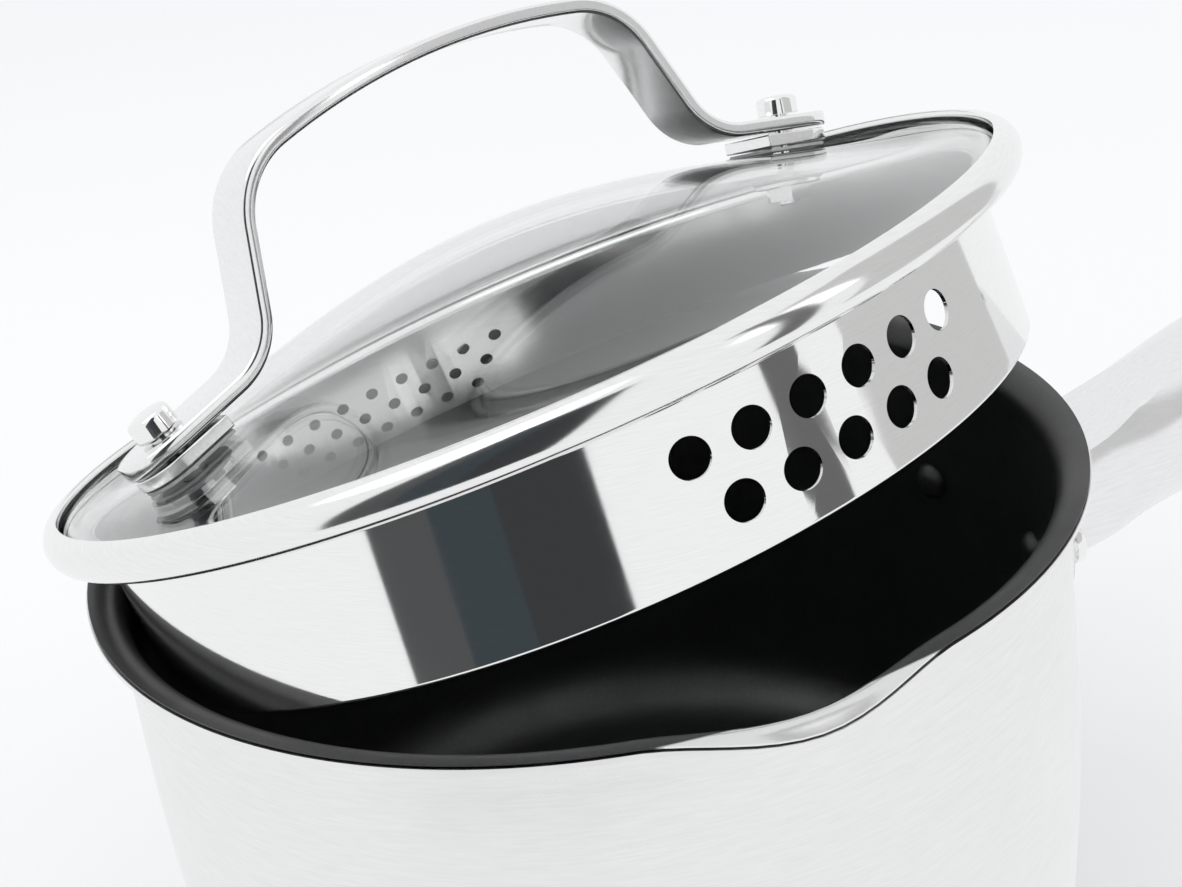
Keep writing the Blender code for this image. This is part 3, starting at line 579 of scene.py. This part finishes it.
def rivets():
    for word, side in (("near", -1), ("far", 1)):
        inner = wall_radius(HANDLE_DEPTH) - GAP - 0.2 * MM
        outer = outer_wall() + GAP + FLANGE + GAP + 0.4 * MM
        r, h = RIVET_HEAD_RADIUS, RIVET_HEAD
        profile = [(0, inner - h), (0.3 * r, inner - 0.98 * h), (0.6 * r, inner - 0.84 * h)]
        profile += [(0.85 * r, inner - 0.55 * h), (r, inner - 0.15 * h), (r, inner)]
        profile += [(RIVET_RADIUS, inner), (RIVET_RADIUS, outer), (r, outer), (r, outer + 0.4 * h)]
        profile += [(0.88 * r, outer + 0.75 * h), (0.6 * r, outer + 0.98 * h), (0, outer + 1.1 * h)]
        cad, place = "handle_rivet_" + word, rivet_frame(side)
        bm = turned(profile, 40)
        made = finish("rivet_" + word, bm, "pan", cad, BRIGHT, place, sharp=50)
        # The head inside the pan is coated like the wall round it
        made.data.materials.append(COAT)
        for face in made.data.polygons:
            middle = face.center
            if math.hypot(middle.x, middle.y) < inner + 0.5 * MM:
                face.material_index = 1


# ---------------------------------------------------------------- lid

JOINT = frame["record"]["behaviour"]["joints"][0]
HINGE = Vector(JOINT["pos_m"])
OPEN = math.radians(-JOINT["range_deg"][0])
LID = Matrix.Translation(HINGE) @ Matrix.Rotation(OPEN, 4, Vector(JOINT["axis"]))
LID = LID @ Matrix.Translation(Vector((0, 0, RIM_TOP)) - HINGE) @ Matrix.Rotation(LID_TURN, 4, "Z")


def glass_top(radius):
    shoulder = RING_LIP - 0.2 * MM
    return GLASS_LOW + GLASS + DOME * max(1 - (radius / shoulder) ** 2, 0) ** DOME_SHAPE


def lid_piece(name, bm, cad, look, place=None, sharp=35, bevel=0.0):
    return finish(name, bm, "lid", cad, look, LID @ place if place else LID, sharp, bevel)


def glass():
    count = 44
    radii = [(GLASS_RADIUS - 1.6 * MM) * (1 - i / count) for i in range(count + 1)]
    top = [(r, glass_top(r)) for r in radii]
    under = [(r, glass_top(r) - GLASS) for r in reversed(radii)]
    edge = [(GLASS_RADIUS, GLASS_LOW + 0.8 * MM), (GLASS_RADIUS, GLASS_LOW + GLASS - 0.8 * MM)]
    bm = turned(top + under + edge)
    for side in (-1, 1):
        bm = cut(bm, bolt_hole(side, -8 * MM, 4 * MM))
    lid_piece("glass_dome", bm, "lid_glass", GLASS_LOOK, sharp=50)


def ring():
    low, high = 0.3 * MM, 0.3 * MM + RING_HEIGHT
    middle = (RING_RADIUS - 0.15 * MM - RING_HEIGHT / 2, (low + high) / 2)
    outer = arc(middle, RING_HEIGHT / 2, -math.pi / 2, math.pi / 2, 24)
    inner = arc(middle, RING_HEIGHT / 2 - RING_WALL, math.pi / 2, -math.pi / 2, 12)
    lip = BAND_RADIUS + BAND_BEND + GAP
    profile = [(lip, low + 0.2 * MM), (lip + 0.2 * MM, low)] + outer
    profile += [(RING_LIP + 0.3 * MM, high - 0.12 * MM), (RING_LIP, high - 0.45 * MM)]
    profile += [(RING_LIP, high - 0.4 * MM - RING_WALL)] + inner + [(lip, low + RING_WALL)]
    lid_piece("rolled_ring", turned(profile), "lid_ring", RING_STEEL, sharp=50)


def hole_rows(middle, rows, step, radius, steps):
    pins = []
    for depth, count in rows:
        for index in range(count):
            angle = middle + step * (index - (count - 1) / 2)
            turn = Matrix.Rotation(angle, 4, "Z") @ Matrix.Rotation(math.pi / 2, 4, "Y")
            pin = cylinder(radius, BAND_RADIUS - 3 * MM, BAND_RADIUS + 1.2 * MM, steps)
            pins.append(moved(pin, Matrix.Translation((0, 0, -depth)) @ turn))
    return pins


def band():
    outer, inner = BAND_RADIUS, BAND_RADIUS - BAND_WALL
    centre = (outer + BAND_BEND, FLANGE_LOW - BAND_BEND)
    low = -BAND_DEPTH
    top = FLANGE_LOW - BAND_BEND
    # The loops close to each edge keep the wall between them flat in its reflections
    profile = [(inner, top - 0.3 * MM), (inner, low + 0.4 * MM), (inner, low + 0.1 * MM)]
    profile += [(inner + 0.2 * MM, low), (outer - 0.2 * MM, low), (outer, low + 0.2 * MM)]
    profile += [(outer, low + 0.5 * MM), (outer, top - 0.3 * MM)]
    profile += arc(centre, BAND_BEND, math.pi, math.pi / 2, 8)
    profile += [(BAND_EDGE, FLANGE_LOW), (BAND_EDGE, FLANGE_LOW + BAND_WALL)]
    profile += arc(centre, BAND_BEND + BAND_WALL, math.pi / 2, math.pi, 8)
    big = hole_rows(-math.pi / 2, *BIG_HOLES, 40)
    small = hole_rows(math.pi / 2, *SMALL_HOLES, 20)
    bm = cut(turned(profile), joined(big + small))
    made = lid_piece("perforated_band", bm, "strainer_band", BRIGHT, sharp=50)
    # The band's inside face takes the darker steel: painted shade inside the lid
    made.data.materials.append(BAND_INSIDE_PAINTED_SHADE)
    shut = LID.inverted()
    for face in made.data.polygons:
        centre = shut @ face.center
        if math.hypot(centre.x, centre.y) < inner + 0.15 * MM:
            face.material_index = 1


PAD_HALF = TOE - 0.6 * MM
SLOPE_DROP = glass_top(BOLT_REACH - PAD_HALF) - glass_top(BOLT_REACH + PAD_HALF)
FOOT_SLOPE = math.atan2(SLOPE_DROP, 2 * PAD_HALF)
PAD_CENTRE = (glass_top(BOLT_REACH - PAD_HALF) + glass_top(BOLT_REACH + PAD_HALF)) / 2
FOOT_LOW = GAP + GASKET + GAP + SPACER + GAP


def foot_frame(side):
    turn = Matrix.Rotation(side * FOOT_SLOPE, 4, "Y")
    return Matrix.Translation((side * BOLT_REACH, 0, PAD_CENTRE)) @ turn


def bolt_hole(side, low, high):
    return moved(cylinder(BOLT_RADIUS + GAP, low, high), foot_frame(side))


def strap_path():
    start = foot_frame(-1) @ Vector((-TOE, 0, FOOT_LOW + STRAP / 2))
    state = [start.x, start.z, FOOT_SLOPE]
    path = [tuple(state)]

    def straight(length, steps):
        for _ in range(steps):
            state[0] += length / steps * math.cos(state[2])
            state[1] += length / steps * math.sin(state[2])
            path.append(tuple(state))

    def bend(radius, turn, steps):
        side = math.copysign(1, turn)
        for _ in range(steps):
            after = state[2] + turn / steps
            state[0] += side * radius * (math.sin(after) - math.sin(state[2]))
            state[1] += side * radius * (math.cos(state[2]) - math.cos(after))
            state[2] = after
            path.append(tuple(state))

    straight(TOE, 4)
    straight(FOOT - TOE, 4)
    bend(LOW_BEND, LEG_ANGLE - FOOT_SLOPE, 16)
    straight(LEG, 4)
    bend(SHOULDER, CROWN_ANGLE - LEG_ANGLE, 16)
    bend(-state[0] / math.sin(CROWN_ANGLE), -CROWN_ANGLE, 10)
    return path + [(-x, z, -h) for x, z, h in reversed(path[:-1])]


def rounded_bar(width, thick, edge, steps=5):
    """Points (across, up) of a flat bar's section with rounded edges."""
    points = []
    corners = ((1, 1, 0), (-1, 1, 90), (-1, -1, 180), (1, -1, 270))
    for sx, sy, start in corners:
        cx, cy = sx * (width / 2 - edge), sy * (thick / 2 - edge)
        for step in range(steps + 1):
            angle = math.radians(start + 90 * step / steps)
            points.append((cx + edge * math.cos(angle), cy + edge * math.sin(angle)))
    return points


def strap():
    outline = rounded_bar(STRAP_WIDTH, STRAP - STRAP_INSET, STRAP_EDGE)
    path = strap_path()
    x0, z0, h0 = path[0]
    toe = []
    for step in range(9):
        angle = math.pi / 2 * (0.05 + 0.95 * step / 9)
        run = STRAP_WIDTH / 2 * (1 - math.cos(angle))
        x, z = x0 + run * math.cos(h0), z0 + run * math.sin(h0)
        toe.append([(x - u * math.sin(h0), a * math.sin(angle), z + u * math.cos(h0)) for a, u in outline])
    loops = list(toe)
    for x, z, h in [p for p in path if abs(p[0]) < abs(x0) - STRAP_WIDTH / 2]:
        loops.append([(x - u * math.sin(h), a, z + u * math.cos(h)) for a, u in outline])
    loops += [[(-x, y, z) for x, y, z in loop] for loop in reversed(toe)]
    bm = lofted(loops)
    for side in (-1, 1):
        bm = cut(bm, bolt_hole(side, FOOT_LOW - 2 * MM, FOOT_LOW + STRAP + 2 * MM))
    lid_piece("strap_bar", bm, "strap_handle", STRAP_STEEL, sharp=50)


def foot_pad(name, cad, side, low, thick, inset, slot, look, bevel):
    half, outer = STRAP_WIDTH / 2 - inset, PAD_HALF - inset
    outline = [(-outer, half), (-outer, -half)]
    for step in range(25):
        angle = math.pi / 2 * (step / 12 - 1)
        outline.append((outer - half * (1 - math.cos(angle)), half * math.sin(angle)))
    bm = lofted([[(side * a, b, z) for a, b in outline] for z in (low, low + thick)])
    moved(bm, foot_frame(side))
    bm = cut(bm, bolt_hole(side, low - 2 * MM, low + thick + 2 * MM))
    lid_piece(name, bm, cad, look, sharp=30, bevel=bevel)


def fixings():
    for word, side in (("left", -1), ("right", 1)):
        pad = "clear_pad_" + word, "foot_gasket_" + word
        block = "spacer_block_" + word, "foot_spacer_" + word
        foot_pad(*pad, side, GAP, GASKET, 0.4 * MM, "grey_silicone", SILICONE, 0.12 * MM)
        block_low = GAP + GASKET + GAP
        foot_pad(*block, side, block_low, SPACER, 0, "stainless_steel", STRAP_STEEL, 0.25 * MM)
        head = FOOT_LOW + STRAP + GAP
        sag = PAD_CENTRE - glass_top(BOLT_REACH)
        under = -(GLASS + sag) / math.cos(FOOT_SLOPE) - GAP - 0.3 * MM
        low = under - GASKET - GAP - WASHER - GAP - NUT - BOLT_END
        r, h = BOLT_HEAD_RADIUS, BOLT_HEAD
        profile = [(0, low), (BOLT_RADIUS - 0.3 * MM, low), (BOLT_RADIUS, low + 0.3 * MM)]
        profile += [(BOLT_RADIUS, head), (r - 0.15 * MM, head), (r, head + 0.15 * MM)]
        profile += [(r, head + 0.72 * h), (0.97 * r, head + 0.82 * h), (0.88 * r, head + 0.91 * h)]
        profile += [(0.7 * r, head + 0.97 * h), (0.35 * r, head + h), (0, head + h)]
        cad, place = "handle_bolt_" + word, foot_frame(side)
        bm = turned(profile, 40)
        lid_piece("dome_bolt_" + word, bm, cad, BRIGHT, place, sharp=40)
        repaint("inner_gasket_" + word, SILICONE)
        repaint("handle_washer_" + word, RING_STEEL)
        repaint("handle_nut_" + word, RING_STEEL)
    repaint("ring_sealant", SILICONE)


# ---------------------------------------------------------------- studio


def plain_material(name, colour, emission=0.0, roughness=0.9):
    made, _, shader = new_material(name, colour, 0.0, roughness)
    shader.inputs["Specular IOR Level"].default_value = 0.1
    if emission:
        shader.inputs["Emission Color"].default_value = (*colour, 1.0)
        shader.inputs["Emission Strength"].default_value = emission
        shader.inputs["Base Color"].default_value = (0, 0, 0, 1)
    return made


def panel(name, start, end, low, colour, strength):
    """A curved studio panel round the pan, between two angles in degrees. Only reflections show it."""
    bm = bmesh.new()
    steps = 16
    rows = []
    for z in (low, PANEL_TOP):
        angles = [math.radians(start + (end - start) * i / steps) for i in range(steps + 1)]
        around = [(PANEL_RADIUS * math.cos(a), PANEL_RADIUS * math.sin(a), z) for a in angles]
        rows.append([bm.verts.new(point) for point in around])
    for i in range(steps):
        bm.faces.new((rows[0][i], rows[0][i + 1], rows[1][i + 1], rows[1][i]))
    mesh = bpy.data.meshes.new(name)
    bm.to_mesh(mesh)
    bm.free()
    mesh.materials.append(plain_material(name, colour, strength))
    made = bpy.data.objects.new(name, mesh)
    bpy.context.scene.collection.objects.link(made)
    made.visible_camera = False
    made.visible_diffuse = False
    made.visible_shadow = False
    made.visible_transmission = False
    return made


def studio():
    scene = bpy.context.scene
    scene.view_settings.view_transform = "Standard"
    world = bpy.data.worlds.new("studio")
    scene.world = world
    world.use_nodes = True
    background = world.node_tree.nodes["Background"]
    background.inputs["Color"].default_value = (0.985, 0.99, 1.0, 1.0)
    background.inputs["Strength"].default_value = 0.95
    mesh = bpy.data.meshes.new("floor")
    bm = bmesh.new()
    bmesh.ops.create_circle(bm, cap_ends=True, segments=64, radius=FLOOR_RADIUS)
    bm.to_mesh(mesh)
    bm.free()
    floor = bpy.data.objects.new("floor", mesh)
    bpy.context.scene.collection.objects.link(floor)
    floor.location.z = -FLOOR_DROP
    floor.visible_glossy = False
    mesh.materials.append(plain_material("pale_floor", (0.945, 0.95, 0.955)))
    panel("dark_panel_left", -141, -130, 0.07, (0.95, 0.98, 1.0), 0.085)
    panel("dark_panel_middle", -130, -119, 0.07, (0.7, 0.88, 1.0), 0.065)
    panel("dark_panel_right", -119, -103, 0.07, (0.9, 0.95, 1.0), 0.045)
    panel("narrow_panel", -70, -62, 0.105, (1.0, 1.0, 1.0), 0.14)
    panel("grey_panel", -52, -8, 0.105, (1.0, 1.0, 1.0), 0.6)
    for name, place, size, energy in (
        ("key", (-0.5, 0.2, 1.2), 0.9, 1.6),
        ("fill", (0.7, -0.7, 0.9), 0.8, 0.8),
    ):
        light = bpy.data.lights.new(name, "AREA")
        light.shape, light.size, light.energy = "DISK", size, energy
        made = bpy.data.objects.new(name, light)
        made.location = place
        aim = Vector((0, 0, 0.1)) - Vector(place)
        made.rotation_euler = aim.to_track_quat("-Z", "Y").to_euler()
        bpy.context.scene.collection.objects.link(made)


def camera():
    data = bpy.data.cameras.new("camera")
    data.sensor_width, data.lens, data.clip_start = 36, 57.51, 0.01
    made = bpy.data.objects.new("camera", data)
    right = Vector((0.92109, -0.364079, -0.137987))
    up = Vector((0.269364, 0.339974, 0.901033))
    back = Vector((-0.281135, -0.867101, 0.411216))
    matrix = Matrix((right, up, back)).transposed().to_4x4()
    matrix.translation = Vector((-0.08846, -0.28107, 0.13926 + RIM_TOP))
    made.matrix_world = matrix
    bpy.context.scene.collection.objects.link(made)
    bpy.context.scene.camera = made


camera()
pan()
long_handle()
rivets()
glass()
ring()
band()
strap()
fixings()
studio()
